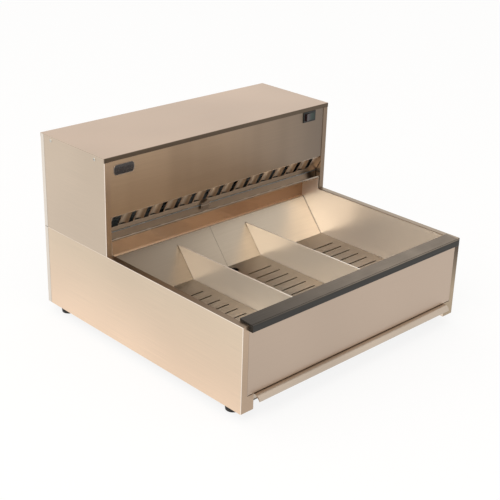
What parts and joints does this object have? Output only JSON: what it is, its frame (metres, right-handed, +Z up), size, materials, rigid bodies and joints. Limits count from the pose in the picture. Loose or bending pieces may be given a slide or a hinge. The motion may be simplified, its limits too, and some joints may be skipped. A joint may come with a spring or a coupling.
{
  "type": "counter-top food warmer",
  "caption": "Low stainless counter warmer: open bins with lift-out dividers and slotted floors, a hot-air hood at the rear, a rocker switch and a pull-out crumb tray.",
  "frame": {"origin": "middle of the overall footprint, on the surface the feet stand on", "axes": "+X to the object's right seen from the front, -Y the front with the pull lip, +Z up"},
  "size_m": [0.7236, 0.731, 0.458],
  "materials": {
    "brushed_stainless": "brushed along each sheet",
    "satin_stainless": "satin",
    "bright_stainless": "bright, half mirror",
    "galvanised_sheet": "dull zinc spangle",
    "black_nosing": "fine grain",
    "mineral_fibre": "felted",
    "rubber": "matte",
    "zinc_screws": "bright zinc",
    "wheel_aluminium": "mill",
    "motor_enamel": "semi-gloss",
    "heater_sheath": "heat-tinted",
    "black_nylon": "moulded",
    "rocker_lens": "gloss",
    "badge_enamel": "gloss enamel, bare",
    "phenolic": "moulded",
    "steatite": "glazed ceramic"
  },
  "bodies": {
    "cabinet": {"side_panel_left": "brushed_stainless", "side_panel_right": "brushed_stainless", "front_panel": "brushed_stainless", "body_rear_panel": "brushed_stainless", "base_pan": "galvanised_sheet", "front_nosing": "black_nosing", "crumb_guide_left": "galvanised_sheet", "crumb_guide_right": "galvanised_sheet", "front_liner": "bright_stainless", "side_liner_left": "bright_stainless", "side_liner_right": "bright_stainless", "slope_panel_left": "satin_stainless", "slope_panel_right": "satin_stainless", "duct_wall": "bright_stainless", "floor_rail_left": "satin_stainless", "floor_rail_right": "satin_stainless", "front_insulation": "mineral_fibre", "side_insulation_left": "mineral_fibre", "side_insulation_right": "mineral_fibre", "foot_front_left": "rubber", "foot_front_right": "rubber", "foot_rear_left": "rubber", "foot_rear_right": "rubber", "foot_screws": "zinc_screws", "cover_screws": "zinc_screws", "hood_side_left": "brushed_stainless", "hood_side_right": "brushed_stainless", "top_cover": "brushed_stainless", "hood_front": "brushed_stainless", "hood_rear": "brushed_stainless", "diffuser_grille": "bright_stainless", "grille_clip": "bright_stainless", "air_ledge": "bright_stainless", "hood_deck": "galvanised_sheet", "plenum": "galvanised_sheet", "blower_housing_left": "galvanised_sheet", "blower_housing_right": "galvanised_sheet", "blower_motor_left": "motor_enamel", "blower_motor_right": "motor_enamel", "heater": "heater_sheath", "heater_brackets": "galvanised_sheet", "switch_housing": "black_nylon", "badge_plate": "badge_enamel", "cable_gland": "black_nylon", "thermostat": "phenolic", "terminal_block": "steatite"},
    "crumb_tray": {"crumb_tray": "satin_stainless"},
    "left_divider": {"divider_left": "bright_stainless"},
    "right_divider": {"divider_right": "bright_stainless"},
    "left_floor": {"bin_floor_left": "satin_stainless"},
    "centre_floor": {"bin_floor_centre": "satin_stainless"},
    "right_floor": {"bin_floor_right": "satin_stainless"},
    "rocker": {"rocker": "rocker_lens"},
    "left_wheel": {"blower_wheel_left": "wheel_aluminium"},
    "right_wheel": {"blower_wheel_right": "wheel_aluminium"}
  },
  "joints": [
    {"name": "crumb_tray_slide", "type": "slide", "parent": "cabinet", "child": "crumb_tray", "axis": [0, -1, 0], "range_m": [0, 0.38]},
    {"name": "left_divider_lift", "type": "slide", "parent": "cabinet", "child": "left_divider", "axis": [0, 0, 1], "range_m": [0, 0.07]},
    {"name": "right_divider_lift", "type": "slide", "parent": "cabinet", "child": "right_divider", "axis": [0, 0, 1], "range_m": [0, 0.07]},
    {"name": "left_floor_lift", "type": "slide", "parent": "cabinet", "child": "left_floor", "axis": [0, 0, 1], "range_m": [0, 0.2]},
    {"name": "centre_floor_lift", "type": "slide", "parent": "cabinet", "child": "centre_floor", "axis": [0, 0, 1], "range_m": [0, 0.2]},
    {"name": "right_floor_lift", "type": "slide", "parent": "cabinet", "child": "right_floor", "axis": [0, 0, 1], "range_m": [0, 0.2]},
    {"name": "rocker_switch", "type": "hinge", "parent": "cabinet", "child": "rocker", "pos_m": [0.291, 0.1067, 0.4334], "axis": [0, 0, -1], "range_deg": [0, 16]},
    {"name": "left_wheel_spin", "type": "hinge", "parent": "cabinet", "child": "left_wheel", "pos_m": [-0.1188, 0.2495, 0.3492], "axis": [-1, 0, 0], "continuous": true},
    {"name": "right_wheel_spin", "type": "hinge", "parent": "cabinet", "child": "right_wheel", "pos_m": [0.1188, 0.2495, 0.3492], "axis": [-1, 0, 0], "continuous": true}
  ]
}
